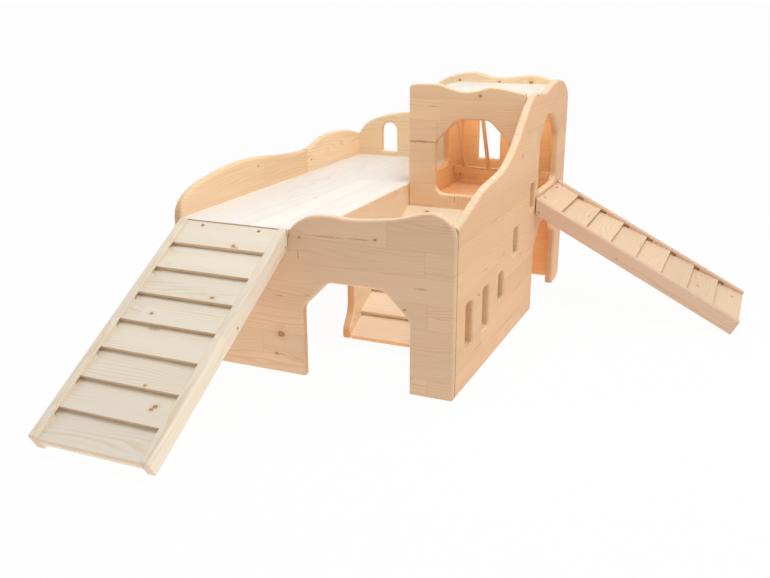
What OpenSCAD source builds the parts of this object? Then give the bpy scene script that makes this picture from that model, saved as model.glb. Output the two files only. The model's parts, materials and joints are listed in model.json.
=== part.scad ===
// Guinea pig play castle: a bottomless timber fort with a raised deck, a tower with a hay rack,
// an inner stair and two ramps that plug into the walls. Millimetres, +Z up, floor at Z = 0.

/* [Castle] */
// Width of the castle across its front
castle_w = 600; // [580:5:660]
// Depth of the castle from front to back
castle_d = 870; // [850:5:940]
// Thickness of the wall, deck and rail boards
board_t = 18; // [16:0.5:20]
// Height of the main deck's top face
deck_top = 298; // [290:1:310]
// Distance from the left side to the stair bay and the tower
bay_x = 308; // [300:1:316]
// Distance from the front face to the tower's front face
tower_y = 504; // [496:1:516]
// Place of the butt joint between the two left boards, from the front face
left_joint_y = 538; // [500:2:580]
// Height of the front parapet's dip above the deck
parapet_h = 32; // [24:1:40]

/* [Ground doors] */
// Width of the front gate
gate_w = 222; // [200:2:230]
// Centre of the front gate from the left side
gate_x = 402; // [396:1:412]
// Height of the gate and of the side door at ground level
ground_door_h = 200; // [180:2:208]
// Width of the side door at ground level
low_door_w = 216; // [190:2:220]
// Size of the cut-off upper corners of every doorway
door_cut = 54; // [40:1:60]
// Rounding of the cut-off corners
door_r = 24; // [12:1:30]

/* [Tower] */
// Height of the tower walls at the dips of their wavy top
tower_top = 514; // [500:1:530]
// Height of the waves above the dips
wave_h = 16; // [8:1:20]
// Height of the tower floor's top face
tower_floor_top = 250; // [244:1:256]
// Depth of the roof's top face below the wall dips
roof_drop = 6; // [4:1:12]
// Height of the sills of the tower's front and side doorways
sill_z = 279; // [274:1:284]
// Depth of the heads of those doorways below the wall dips
head_drop = 60; // [54:1:80]
// Share of the tower's width taken up by its front doorway
front_door_share = 0.664; // [0.6:0.002:0.68]
// Share of the tower's width to the left of its front doorway
front_post_share = 0.241; // [0.22:0.001:0.26]
// Width of the tower's side doorway
side_door_w = 182; // [150:2:190]
// Rounding of the lower corners of the tower doorways
sill_r = 22; // [10:1:26]
// Centre of the two side doorways, from the front face
side_door_y = 684; // [680:1:690]
// Width of the doorway from the deck into the tower
deck_door_w = 140; // [120:2:150]
// Height of that doorway's sill above the deck
deck_sill = 10; // [6:1:16]
// Depth of that doorway's head below the roof
deck_head_drop = 40; // [32:1:60]
// Distance of that doorway from the tower's front wall
deck_door_in = 78; // [60:1:90]

/* [Windows] */
// Width of the slit windows
slit_w = 42; // [34:1:46]
// Height of the two long slits
long_slit_h = 92; // [70:1:96]
// Height of the three short slits
short_slit_h = 63; // [50:1:66]
// Height of the long slits above the floor
slit_z = 75; // [70:1:90]
// Distance of the first slit from the front face
slit_y = 93; // [80:1:100]
// Spacing of the slits along the wall
slit_pitch = 107; // [96:1:108]
// Rise of each of the last slits above the one before
slit_rise = 73; // [60:1:74]
// Centre of the arched window over the deck, from the left side
deck_window_x = 109; // [90:1:120]
// Width of the arched window over the deck
deck_window_w = 44; // [36:1:54]
// Height of the arched window over the deck
deck_window_h = 80; // [60:1:86]
// Height of that window's sill above the deck
deck_window_sill = 12; // [8:1:16]
// Centre of the arched window in the tower's back, from the left side
tower_window_x = 398; // [390:1:410]
// Width of the arched window in the tower's back
tower_window_w = 60; // [48:1:70]
// Height of the arched window in the tower's back
tower_window_h = 130; // [100:1:136]
// Height of that window's sill above the deck
tower_window_sill = 10; // [6:1:14]

/* [Stair] */
// Number of treads of the inner stair
stair_treads = 6; // [5:1:6]
// Slope of the inner stair
stair_slope = 35; // [33:0.5:35]
// Height of the stair's top edge above the tower floor
stair_lift = 2; // [0:1:8]
// Height of the stair's stringers
stringer_h = 26; // [20:1:28]
// Thickness of a stair tread at its upper edge
wedge_thin = 3; // [2:0.5:5]
// Thickness of a stair tread at its lower edge
wedge_thick = 13; // [9:0.5:16]

/* [Hay rack] */
// Side of the rack's square battens
rack_batten = 18; // [16:1:20]
// Height of the lower batten's underside above the tower floor
rack_z = 28; // [20:1:40]
// Gap between the lower batten and the back wall
rack_gap = 58; // [54:1:62]
// Lean of the rack's dowels towards the front
rack_lean = 25; // [18:1:26]
// Diameter of the rack's dowels
rack_dowel_d = 10; // [8:0.5:11]
// Number of the rack's dowels
rack_dowels_n = 4; // [3:1:5]
// Distance of the end dowels from the walls
rack_margin = 30; // [24:1:40]

/* [Ramps] */
// Width of a ramp over its rails
ramp_w = 244; // [220:2:248]
// Number of treads of a ramp
ramp_treads = 8; // [7:1:9]
// Spacing of the treads along the slope
tread_pitch = 66.5; // [60:0.5:67]
// Height of a ramp's rails, square to the slope
rail_h = 36; // [34:1:42]
// Depth of the highest tread edges below the rail tops
rail_over = 5; // [4:1:8]
// Thickness of a tread
tread_t = 8; // [6:0.5:9]
// Depth of the grooves that hold the treads in the rails
groove_d = 6; // [4:0.5:8]
// Length of a groove past the lower edge of its tread
groove_run = 16; // [8:1:20]
// Height of the left ramp's rail tops above the deck
rail_lift = 4; // [0:0.5:6]
// Depth of the right ramp's rail tops below the side doorway's sill
rail_drop = 4; // [2:0.5:8]
// Centre of the right ramp, from the front face
right_ramp_y = 692; // [686:1:700]
// Diameter of the dowels that plug a ramp into its wall
plug_d = 10; // [8:0.5:11]
// Distance of the plug dowels from the ramp's centre line
plug_x = 74; // [70:1:78]

/* [Fixings] */
// Diameter of the hidden dowels at the wall joints
peg_d = 8; // [6:0.5:8]
// Side of the ledgers under the deck and the tower floor
ledger = 18; // [16:1:20]
// Diameter of the screw heads
head_d = 7; // [6:0.5:8]
// Diameter of the screw shanks
shank_d = 3.5; // [3:0.25:4]

/* [Clearances] */
// Radial clearance of dowels and screws in their holes
fit = 0.05; // [0.02:0.01:0.08]
// Gap between a ramp's rail ends and the wall
rail_gap = 2; // [1:0.5:4]
// Gap between a hung ramp's batten and the wall
hang_gap = 0.3; // [0.2:0.1:0.5]
// Gap between one tread and the next below it, and between the top tread and the wall
tread_gap = 1; // [0.8:0.1:2]
// Gap beyond the blind end of a dowel
end_gap = 0.5; // [0.3:0.1:1]

/* [Hidden] */
$fn = 48;

wood = [0.93, 0.80, 0.62];
wood_edge = [0.90, 0.74, 0.54];
dowel_wood = [0.86, 0.70, 0.48];
steel = [0.62, 0.60, 0.56];

t = board_t;
over = 1;
deck_low = deck_top - t;
roof_top = tower_top - roof_drop;
roof_low = roof_top - t;
floor_low = tower_floor_top - t;
back_y = castle_d - t;
right_x = castle_w - t;
tower_in_y = tower_y + t;
tower_in_x = bay_x + t;
ledge_z = deck_low - ledger;
bay_w = right_x - bay_x;
front_door_w = front_door_share * bay_w;
front_door_x = bay_x + front_post_share * bay_w + front_door_w / 2;
tower_door_h = tower_top - head_drop - sill_z;
deck_door_h = roof_low - deck_head_drop - deck_top - deck_sill;

// Ramps: the rail tops start rail_lift above the landing, and the rails' lower corners meet the floor
ramp_len = ramp_treads * tread_pitch;
left_rail_z = deck_top + rail_lift;
right_rail_z = sill_z - rail_drop;
tread_step = tread_t + tread_gap;
tread_tuck = 5;
function ramp_slope(z) = asin(z / norm([ramp_len, rail_h])) - atan(rail_h / ramp_len);
left_slope = ramp_slope(left_rail_z);
right_slope = ramp_slope(right_rail_z);
left_reach = ramp_len * cos(left_slope);
right_reach = ramp_len * cos(right_slope);
left_ramp_x = t + ramp_w / 2;
tongue_x = t + ramp_w;
ramp_in = ramp_w / 2 - t;

// The origin is the middle of the whole footprint, ramps included
origin_x = (castle_w + right_reach) / 2;
origin_y = (castle_d - left_reach) / 2;

// Curves and outlines

function curve_point(a, b, c, d, u) =
    (2 * b + (c - a) * u + (2 * a - 5 * b + 4 * c - d) * u * u + (3 * b - a - 3 * c + d) * u * u * u) / 2;

// Smooth curve through a list of points
function curve(p, m = 6) = concat(
    [for (i = [0 : len(p) - 2]) for (k = [0 : m - 1])
        curve_point(p[max(i - 1, 0)], p[i], p[i + 1], p[min(i + 2, len(p) - 1)], k / m)],
    [p[len(p) - 1]]);

// Points of a wavy top given as [share of the way along the board, height in units of rise]
function spread(from, to, level, p, rise = 1) =
    [for (q = p) [from + q.x * (to - from), level + q.y * rise]];

function unit(v) = v / norm(v);

// Arc of radius r that rounds the corner v between its neighbours a and b
function corner_arc(a, v, b, r, m = 6) = let (
    u = unit(a - v),
    w = unit(b - v),
    half = acos(u * w) / 2,
    c = v + unit(u + w) * r / sin(half),
    p = v + u * r / tan(half) - c,
    q = v + w * r / tan(half) - c,
    from = atan2(p.y, p.x),
    sweep = (atan2(q.y, q.x) - from + 540) % 360 - 180)
    [for (k = [0 : m]) c + r * [cos(from + sweep * k / m), sin(from + sweep * k / m)]];

// Outline through corners given as [x, y, rounding]
function rounded(p) = [for (i = [0 : len(p) - 1]) let (
    a = p[(i + len(p) - 1) % len(p)],
    v = p[i],
    b = p[(i + 1) % len(p)])
    each (v.z > 0 ? corner_arc([a.x, a.y], [v.x, v.y], [b.x, b.y], v.z) : [[v.x, v.y]])];

// Doorway with cut-off and rounded upper corners
function doorway(c, w, sill, h, low_r) = rounded([
    [c - w / 2, sill, low_r],
    [c + w / 2, sill, low_r],
    [c + w / 2, sill + h - door_cut, door_r],
    [c + w / 2 - door_cut, sill + h, door_r],
    [c - w / 2 + door_cut, sill + h, door_r],
    [c - w / 2, sill + h - door_cut, door_r]]);

function ground_doorway(c, w) = doorway(c, w, -t, ground_door_h + t, 0);

// Window with an arched head
arch_share = 0.96;
window_r = 4;
function arched(c, w, sill, h) = rounded([
    [c - w / 2, sill, window_r],
    [c + w / 2, sill, window_r],
    [c + w / 2, sill + h, w / 2 * arch_share],
    [c - w / 2, sill + h, w / 2 * arch_share]]);

slit_r = 7;
function slit(c, z, h) = rounded([
    [c - slit_w / 2, z, slit_r],
    [c + slit_w / 2, z, slit_r],
    [c + slit_w / 2, z + h, slit_r],
    [c - slit_w / 2, z + h, slit_r]]);

// Boards: an outline in X and Z or in Y and Z, one board thick

module board_xz(y, pts) {
    translate([0, y + t, 0]) rotate([90, 0, 0]) linear_extrude(t) polygon(pts);
}

module cut_xz(y, pts) {
    translate([0, y + t + over, 0]) rotate([90, 0, 0]) linear_extrude(t + 2 * over) polygon(pts);
}

module board_yz(x, pts) {
    translate([x, 0, 0]) rotate([90, 0, 90]) linear_extrude(t) polygon(pts);
}

module cut_yz(x, pts) {
    translate([x - over, 0, 0]) rotate([90, 0, 90]) linear_extrude(t + 2 * over) polygon(pts);
}

module at_origin() {
    translate([-origin_x, -origin_y, 0]) children();
}

// Hidden dowels at the joints: [point on the joint face, direction into the edge of the joined board]
peg_in = 11;
peg_out = 22;
low_peg_z = 60;
panel_peg_z = 80;
deck_peg_drop = 40;
deck_peg_z = deck_low - deck_peg_drop;
high_peg_drop = 60;
tower_peg_drop = 40;
floor_peg_drop = 50;
panel_peg_drop = 30;
side_peg_rise = 22;
side_peg_drop = 26;
rack_roof_gap = 4;
tower_peg_zs = [tower_floor_top + side_peg_rise, roof_low - side_peg_drop];
rack_low_z = tower_floor_top + rack_z + rack_batten / 2;
rack_high_z = roof_low - rack_batten / 2 - rack_roof_gap;
rack_low_y = back_y - rack_gap - rack_batten / 2;
rack_high_y = rack_low_y - (rack_high_z - rack_low_z) * tan(rack_lean);
roof_mid = roof_top - t / 2;
panel_back_y = tower_in_y + t;

front_pegs = concat(
    [for (z = [low_peg_z, deck_top / 2, deck_low]) [[castle_w - t / 2, t, z], [0, 1, 0]]],
    [for (z = [low_peg_z, deck_peg_z]) [[t, t / 2, z], [1, 0, 0]]]);
back_pegs = concat(
    [for (z = [low_peg_z, deck_peg_z]) [[t, castle_d - t / 2, z], [1, 0, 0]]],
    [for (z = [low_peg_z, deck_peg_z, tower_top - high_peg_drop])
        [[right_x, castle_d - t / 2, z], [-1, 0, 0]]]);
tower_pegs = concat(
    [for (z = [low_peg_z, tower_floor_top - floor_peg_drop, tower_top - tower_peg_drop])
        [[right_x, tower_y + t / 2, z], [-1, 0, 0]]],
    [for (z = [panel_peg_z, tower_floor_top - panel_peg_drop]) [[bay_x, tower_y + t / 2, z], [1, 0, 0]]]);
side_pegs = concat(
    [for (z = tower_peg_zs) [[bay_x + t / 2, tower_in_y, z], [0, 1, 0]]],
    [for (z = tower_peg_zs) [[bay_x + t / 2, back_y, z], [0, -1, 0]]]);
roof_inset = 70;
roof_pegs = concat(
    [for (x = [bay_x + roof_inset, right_x - roof_inset]) [[x, tower_in_y, roof_mid], [0, 1, 0]]],
    [for (x = [bay_x + roof_inset, right_x - roof_inset]) [[x, back_y, roof_mid], [0, -1, 0]]],
    [for (y = [tower_in_y + roof_inset, back_y - roof_inset]) [[right_x, y, roof_mid], [-1, 0, 0]]]);
rack_pegs = [for (p = [[rack_low_y, rack_low_z], [rack_high_y, rack_high_z]]) each [
    [[tower_in_x, p.x, p.y], [1, 0, 0]],
    [[right_x, p.x, p.y], [-1, 0, 0]]]];
all_pegs = concat(front_pegs, back_pegs, tower_pegs, side_pegs, roof_pegs, rack_pegs);

// Turns the Z axis to a horizontal direction
module along(d) {
    rotate([0, 90, atan2(d.y, d.x)]) children();
}

module pegs(list, gap = 0) {
    tip = gap > 0 ? end_gap : 0;
    for (p = list)
        translate(p[0] - (peg_in + tip) * p[1])
            along(p[1])
                cylinder(d = peg_d + 2 * gap, h = peg_in + peg_out + 2 * tip);
}

// Countersunk screw pointing along -Z from the middle of its head, or its hole when gap is set
module screw(length, gap = 0, open = 0) {
    head_h = (head_d - shank_d) / 2;
    tip = gap > 0 ? end_gap : 0;
    translate([0, 0, -head_h]) cylinder(d1 = shank_d + 2 * gap, d2 = head_d + 2 * gap, h = head_h);
    translate([0, 0, -length - tip]) cylinder(d = shank_d + 2 * gap, h = length - head_h + tip);
    if (open > 0) cylinder(d = head_d + 2 * gap, h = open);
}

// Screws that hold the ledgers and stringers: [head point, direction]
screw_sink = 0.5;
wall_bite = 12;
batten_screw_len = ledger + wall_bite;
ledger_mid = ledge_z + ledger / 2;
floor_ledge_z = floor_low - ledger;
floor_ledge_mid = floor_low - ledger / 2;
wall_screw_in = 120;
joint_screw_in = 40;
ledger_screw_in = 60;
deck_screws = concat(
    [for (y = [wall_screw_in, left_joint_y - joint_screw_in,
               left_joint_y + joint_screw_in, castle_d - wall_screw_in])
        [[t + ledger, y, ledger_mid], [-1, 0, 0]]],
    [for (x = [t + ledger + ledger_screw_in, bay_x - ledger_screw_in])
        [[x, back_y - ledger, ledger_mid], [0, 1, 0]]]);
floor_screws = [for (x = [bay_x + ledger_screw_in, right_x - ledger_screw_in]) each [
    [[x, tower_in_y + ledger, floor_ledge_mid], [0, -1, 0]],
    [[x, back_y - ledger, floor_ledge_mid], [0, 1, 0]]]];

// Stair: its outline runs in distance from the tower's front face and height
stair_top = tower_floor_top + stair_lift;
stair_len = stair_treads * tread_pitch;
stringer_end = 26;
stringer_run = stair_len - stringer_end;
function stair_point(s, n) = [
    tower_y - s * cos(stair_slope) - n * sin(stair_slope),
    stair_top - s * sin(stair_slope) + n * cos(stair_slope)];
function stair_wall_s(n) = -n * tan(stair_slope);
stringer_mid = -tread_t - stringer_h / 2;
stair_screw_in = 60;
stair_screw_at = [stair_screw_in, stringer_run - stair_screw_in];
stair_screws = [for (s = stair_screw_at) let (p = stair_point(s, stringer_mid)) each [
    [[tower_in_x, p.x, p.y], [-1, 0, 0]],
    [[right_x - t, p.x, p.y], [1, 0, 0]]]];
all_batten_screws = concat(deck_screws, floor_screws, stair_screws);

module batten_screw_set(list, gap = 0) {
    for (p = list)
        translate(p[0] + screw_sink * p[1])
            rotate([0, -90, atan2(p[1].y, p[1].x)])
                screw(batten_screw_len - screw_sink, gap, gap > 0 ? over : 0);
}

// Plug dowels and their holes, in a ramp's own frame: X across, Y away from the wall, Z up

hanger_h = 24;
plug_skin = 4;
function under_tread(z, a, y) = z - y * tan(a) - (rail_over + tread_t) / cos(a);
function plug_z(z, a) = under_tread(z, a, t) - hanger_h / 2;

module plugs(z, a, gap = 0) {
    wall_tip = gap > 0 ? t + over : t - end_gap;
    batten_tip = t - plug_skin + (gap > 0 ? end_gap : 0);
    for (side = [-1, 1])
        translate([side * plug_x, -wall_tip, plug_z(z, a)])
            rotate([-90, 0, 0])
                cylinder(d = plug_d + 2 * gap, h = wall_tip + batten_tip);
}

module at_left_ramp() {
    translate([left_ramp_x, 0, 0]) rotate([0, 0, 180]) children();
}

module at_right_ramp() {
    translate([castle_w, right_ramp_y, 0]) rotate([0, 0, -90]) children();
}

// Walls

front_lip = 4;
parapet_top = deck_top + parapet_h;
front_top = curve(concat([[tongue_x, deck_low + front_lip]], spread(tongue_x, castle_w, parapet_top, [
    [0.015, -30],
    [0.065, -14],
    [0.148, -1],
    [0.266, 2],
    [0.414, 0],
    [0.645, 8],
    [0.778, 20],
    [0.858, 25],
    [0.929, 19],
    [0.982, 3],
    [1, -16]])));

module front_wall() {
    color(wood) at_origin() difference() {
        board_xz(0, concat([[castle_w, 0], [t, 0], [t, deck_low], [tongue_x, deck_low]], front_top));
        cut_xz(0, ground_doorway(gate_x, gate_w));
        pegs(front_pegs, fit);
        at_left_ramp() plugs(left_rail_z, left_slope, fit);
    }
}

left_front_top = curve(spread(0, left_joint_y, deck_top, [
    [0, 4],
    [0.009, 20],
    [0.041, 38],
    [0.108, 54],
    [0.208, 65],
    [0.32, 73],
    [0.442, 77],
    [0.576, 75],
    [0.725, 67],
    [0.874, 60],
    [1, 57]]));

module left_wall_front() {
    color(wood) at_origin() difference() {
        board_yz(0, concat([[left_joint_y, 0], [0, 0]], left_front_top));
        pegs(front_pegs, fit);
        batten_screw_set(deck_screws, fit);
    }
}

left_rear_top = curve(spread(left_joint_y, castle_d, deck_top, [
    [0, 58],
    [0.09, 62],
    [0.175, 70],
    [0.289, 79],
    [0.452, 82],
    [0.617, 80],
    [0.774, 74],
    [0.91, 64],
    [1, 56]]));

module left_wall_rear() {
    color(wood) at_origin() difference() {
        board_yz(0, concat([[castle_d, 0], [left_joint_y, 0]], left_rear_top));
        pegs(back_pegs, fit);
        batten_screw_set(deck_screws, fit);
    }
}

back_top = curve(concat(
    spread(t, bay_x, deck_top, [
        [0, 64],
        [0.069, 87],
        [0.172, 103],
        [0.31, 115],
        [0.448, 121],
        [0.552, 127]]),
    spread(t, bay_x, tower_top, [
        [0.662, -62],
        [0.759, -22],
        [0.876, 2]]),
    spread(bay_x, right_x, tower_top, [
        [0.029, 1],
        [0.182, 1.2],
        [0.372, 0.5],
        [0.547, 0.62],
        [0.73, 1],
        [0.883, 0.5],
        [1, -0.12]], wave_h)));

module back_wall() {
    color(wood) at_origin() difference() {
        board_xz(back_y, concat([[right_x, 0], [t, 0]], back_top));
        cut_xz(back_y, arched(deck_window_x, deck_window_w, deck_top + deck_window_sill, deck_window_h));
        cut_xz(back_y,
            arched(tower_window_x, tower_window_w, deck_top + tower_window_sill, tower_window_h));
        pegs(concat(back_pegs, side_pegs, roof_pegs), fit);
        batten_screw_set(concat(deck_screws, floor_screws), fit);
    }
}

right_top = curve(concat(
    spread(t, tower_y, parapet_top, [
        [0, -2],
        [0.107, 10],
        [0.22, 27],
        [0.364, 43],
        [0.527, 50],
        [0.64, 61]]),
    spread(t, tower_y, tower_top, [
        [0.77, -93],
        [0.872, -55],
        [0.971, -20]]),
    spread(tower_y, castle_d, tower_top, [
        [0.082, -1],
        [0.205, 0],
        [0.358, -5],
        [0.522, 8],
        [0.694, 14],
        [0.842, 8],
        [0.945, -10],
        [0.989, -26],
        [1, -46]])));
foot_r = 20;

// Height of each slit's lower end, the first two long and the rest rising
short_slit_z = slit_z + long_slit_h - short_slit_h;
last_slit_in = 3;
last_slit_y = tower_in_y + last_slit_in + slit_w / 2;
slits = concat(
    [for (i = [0, 1]) [slit_y + i * slit_pitch, slit_z, long_slit_h]],
    [for (i = [0, 1]) [slit_y + (i + 2) * slit_pitch, short_slit_z + i * slit_rise, short_slit_h]],
    [[last_slit_y, short_slit_z + 2 * slit_rise, short_slit_h]]);

module right_wall() {
    color(wood) at_origin() difference() {
        board_yz(right_x, concat(
            corner_arc([t, 0], [castle_d, 0], [castle_d, tower_top], foot_r),
            [for (i = [len(right_top) - 1 : -1 : 0]) right_top[i]],
            [[t, 0]]));
        cut_yz(right_x, ground_doorway(side_door_y, low_door_w));
        cut_yz(right_x, doorway(side_door_y, side_door_w, sill_z, tower_door_h, sill_r));
        for (s = slits) cut_yz(right_x, slit(s.x, s.y, s.z));
        pegs(concat(front_pegs, back_pegs, tower_pegs, roof_pegs, rack_pegs), fit);
        batten_screw_set(stair_screws, fit);
        at_right_ramp() plugs(right_rail_z, right_slope, fit);
    }
}

tower_front_top = curve(spread(bay_x, right_x, tower_top, [
    [0, 0.42],
    [0.009, 0.78],
    [0.03, 0.97],
    [0.1, 1.1],
    [0.2, 1.14],
    [0.285, 1.04],
    [0.394, 0.46],
    [0.511, 0.19],
    [0.628, 0.56],
    [0.708, 0.94],
    [0.854, 0.69],
    [1, 0.19]], wave_h));

module tower_front_wall() {
    color(wood) at_origin() difference() {
        board_xz(tower_y, concat([[right_x, 0], [bay_x, 0]], tower_front_top));
        cut_xz(tower_y, doorway(front_door_x, front_door_w, sill_z, tower_door_h, sill_r));
        pegs(concat(tower_pegs, side_pegs, roof_pegs), fit);
        batten_screw_set(floor_screws, fit);
    }
}

deck_door_y = tower_in_y + deck_door_in + deck_door_w / 2;

module tower_side_wall() {
    color(wood) at_origin() difference() {
        board_yz(bay_x, [
            [tower_in_y, floor_low],
            [back_y, floor_low],
            [back_y, roof_low],
            [tower_in_y, roof_low]]);
        cut_yz(bay_x, doorway(deck_door_y, deck_door_w, deck_top + deck_sill, deck_door_h, sill_r));
        pegs(concat(side_pegs, rack_pegs), fit);
    }
}

module main_deck() {
    color(wood) at_origin()
        translate([0, 0, deck_low]) linear_extrude(t)
            polygon([[t, 0], [tongue_x, 0], [tongue_x, t], [bay_x, t], [bay_x, back_y], [t, back_y]]);
}

module tower_floor() {
    color(wood) at_origin()
        translate([tower_in_x, tower_in_y, floor_low]) cube([right_x - tower_in_x, back_y - tower_in_y, t]);
}

module tower_roof() {
    color(wood) at_origin() difference() {
        translate([bay_x, tower_in_y, roof_low]) cube([right_x - bay_x, back_y - tower_in_y, t]);
        pegs(roof_pegs, fit);
    }
}

// The panel beside the stair hangs under the deck's edge, and its foot sweeps forward with the stair
panel_low = 20;
panel_in = 20;
panel_bend = 60;
panel_bend_r = 50;
toe_h = 22;
toe_r = 20;
toe_out = 5;
toe_low_r = 4;
stair_foot_y = stair_point(stair_len, 0).x;
panel_edge_y = stair_foot_y + panel_in;

module stair_side_panel() {
    color(wood) at_origin() difference() {
        board_yz(bay_x - t, rounded([
            [panel_back_y, panel_low, 0],
            [panel_back_y, deck_low, 0],
            [panel_edge_y, deck_low, 0],
            [panel_edge_y, panel_low + panel_bend, panel_bend_r],
            [stair_foot_y - toe_out, panel_low + toe_h, toe_r],
            [stair_foot_y - toe_out, panel_low, toe_low_r]]));
        pegs(tower_pegs, fit);
        batten_screw_set(stair_screws, fit);
    }
}

module deck_ledger_left() {
    color(wood_edge) at_origin() difference() {
        translate([t, t, ledge_z]) cube([ledger, back_y - t, ledger]);
        batten_screw_set(deck_screws, fit);
    }
}

module deck_ledger_back() {
    color(wood_edge) at_origin() difference() {
        translate([t + ledger, back_y - ledger, ledge_z]) cube([bay_x - t - ledger, ledger, ledger]);
        batten_screw_set(deck_screws, fit);
    }
}

module floor_ledger(y) {
    color(wood_edge) at_origin() difference() {
        translate([bay_x, y, floor_ledge_z]) cube([right_x - bay_x, ledger, ledger]);
        batten_screw_set(floor_screws, fit);
    }
}

// Hay rack: two battens across the tower with leaning dowels between them

rack_bite = 6;
rack_dowel_len = norm([rack_high_y - rack_low_y, rack_high_z - rack_low_z]) + 2 * rack_bite;
rack_span = right_x - tower_in_x;

module rack_dowel_set(gap = 0) {
    tip = gap > 0 ? end_gap : 0;
    for (i = [0 : rack_dowels_n - 1])
        translate([tower_in_x + rack_margin + i * (rack_span - 2 * rack_margin) / (rack_dowels_n - 1),
                   rack_low_y, rack_low_z])
            rotate([rack_lean, 0, 0])
                translate([0, 0, -rack_bite - tip])
                    cylinder(d = rack_dowel_d + 2 * gap, h = rack_dowel_len + 2 * tip);
}

module rack_bar(y, z) {
    color(wood_edge) at_origin() difference() {
        translate([tower_in_x, y - rack_batten / 2, z - rack_batten / 2])
            cube([rack_span, rack_batten, rack_batten]);
        rack_dowel_set(fit);
        pegs(rack_pegs, fit);
    }
}

module rack_dowels() {
    color(dowel_wood) at_origin() rack_dowel_set();
}

// Inner stair: wedge-shaped treads on two stringers

module stair_stringer(x) {
    color(wood_edge) at_origin() difference() {
        board_yz(x, [
            stair_point(stair_wall_s(-tread_t), -tread_t),
            stair_point(stringer_run, -tread_t),
            stair_point(stringer_run, -tread_t - stringer_h),
            stair_point(stair_wall_s(-tread_t - stringer_h), -tread_t - stringer_h)]);
        batten_screw_set(stair_screws, fit);
    }
}

module stair_tread(i) {
    s = (i - 1) * tread_pitch;
    e = i * tread_pitch;
    thin_n = wedge_thin - tread_t;
    u = i == 1 ? [stair_wall_s(thin_n), stair_wall_s(-tread_t)] : [s, s];
    color(wood) at_origin()
        translate([bay_x, 0, 0]) rotate([90, 0, 90]) linear_extrude(right_x - bay_x)
            polygon([
                stair_point(u[0], thin_n),
                stair_point(e, wedge_thick - tread_t),
                stair_point(e, -tread_t),
                stair_point(u[1], -tread_t)]);
}

module corner_dowels() {
    color(dowel_wood) at_origin() pegs(all_pegs);
}

module batten_screws() {
    color(steel) at_origin() batten_screw_set(all_batten_screws);
}

// Ramps, in their own frame: distance s down the slope and height n above the rail tops

function ramp_point(z, a, s, n) = [s * cos(a) + n * sin(a), z - s * sin(a) + n * cos(a)];
function wall_s(a, n, gap = rail_gap) = (gap - n * sin(a)) / cos(a);

// Height of the top of tread i at distance s
function tread_n(i, s) = i == 1 ? -rail_over
    : -rail_over - tread_step * (i * tread_pitch - s) / (tread_pitch + tread_tuck);

module across(x, w) {
    translate([x, 0, 0]) rotate([90, 0, 90]) linear_extrude(w) children();
}

module tread_outline(i, z, a, run = 0) {
    s = (i - 1) * tread_pitch - tread_tuck;
    e = i * tread_pitch;
    first = i == 1;
    u = first ? [for (n = [0, tread_t]) wall_s(a, -rail_over - n, tread_gap)] : [s, s];
    polygon([
        ramp_point(z, a, u[0], tread_n(i, u[0])),
        ramp_point(z, a, e + run, tread_n(i, e + run)),
        ramp_point(z, a, e + run, tread_n(i, e + run) - tread_t),
        ramp_point(z, a, u[1], tread_n(i, u[1]) - tread_t)]);
}

// The groove runs past its tread down to the face of the next one
module groove_outline(i, z, a) {
    tread_outline(i, z, a);
    e = i * tread_pitch;
    if (i < ramp_treads)
        polygon([
            ramp_point(z, a, e - over, -rail_over),
            ramp_point(z, a, e + groove_run, -rail_over),
            ramp_point(z, a, e + groove_run, tread_n(i + 1, e + groove_run) - over),
            ramp_point(z, a, e - over, tread_n(i + 1, e) - over)]);
}

module rail(side, z, a) {
    x = side > 0 ? ramp_in : -ramp_w / 2;
    groove_x = side > 0 ? ramp_in - over : -ramp_in - groove_d;
    difference() {
        across(x, t) polygon([
            ramp_point(z, a, wall_s(a, 0), 0),
            ramp_point(z, a, ramp_len, 0),
            ramp_point(z, a, ramp_len, -rail_h),
            ramp_point(z, a, wall_s(a, -rail_h), -rail_h)]);
        for (i = [1 : ramp_treads]) across(groove_x, groove_d + over) groove_outline(i, z, a);
        ramp_screw_set(z, a, fit);
    }
}

module tread(i, z, a) {
    difference() {
        across(-ramp_in - groove_d, 2 * (ramp_in + groove_d)) tread_outline(i, z, a);
        if (i == 1) ramp_screw_set(z, a, fit);
    }
}

module hanger_batten(z, a) {
    low = under_tread(z, a, t) - hanger_h;
    difference() {
        across(-ramp_in, 2 * ramp_in) polygon([
            [hang_gap, low],
            [t, low],
            [t, under_tread(z, a, t)],
            [rail_gap, under_tread(z, a, rail_gap)],
            [hang_gap, under_tread(z, a, rail_gap)]]);
        plugs(z, a, fit);
        ramp_screw_set(z, a, fit);
    }
}

// Battens across the underside of a tread
batten_w = 24;
middle_tread = 4;
middle_s = (middle_tread - 0.5) * tread_pitch;
middle_up = 2;
middle_low = -rail_h + middle_up;
foot_w = 20;
foot_h = 10;

module cross_batten(i, s, w, low_start, low_end, z, a) {
    across(-ramp_in, 2 * ramp_in) polygon([
        ramp_point(z, a, s, tread_n(i, s) - tread_t),
        ramp_point(z, a, s + w, tread_n(i, s + w) - tread_t),
        ramp_point(z, a, s + w, low_end),
        ramp_point(z, a, s, low_start)]);
}

module middle_batten(z, a) {
    difference() {
        cross_batten(middle_tread, middle_s - batten_w / 2, batten_w, middle_low, middle_low, z, a);
        ramp_screw_set(z, a, fit);
    }
}

module foot_batten(z, a) {
    s = ramp_len - foot_w;
    cross_batten(ramp_treads, s, foot_w,
        tread_n(ramp_treads, s) - tread_t - foot_h, -rail_over - tread_t - foot_h, z, a);
}

// Two screws through the top tread into the hanger, and two through each rail into the battens
tread_screw_x = 64;
tread_screw_len = 22;
rail_screw_len = 36;
tread_sink = 3.2;

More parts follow.
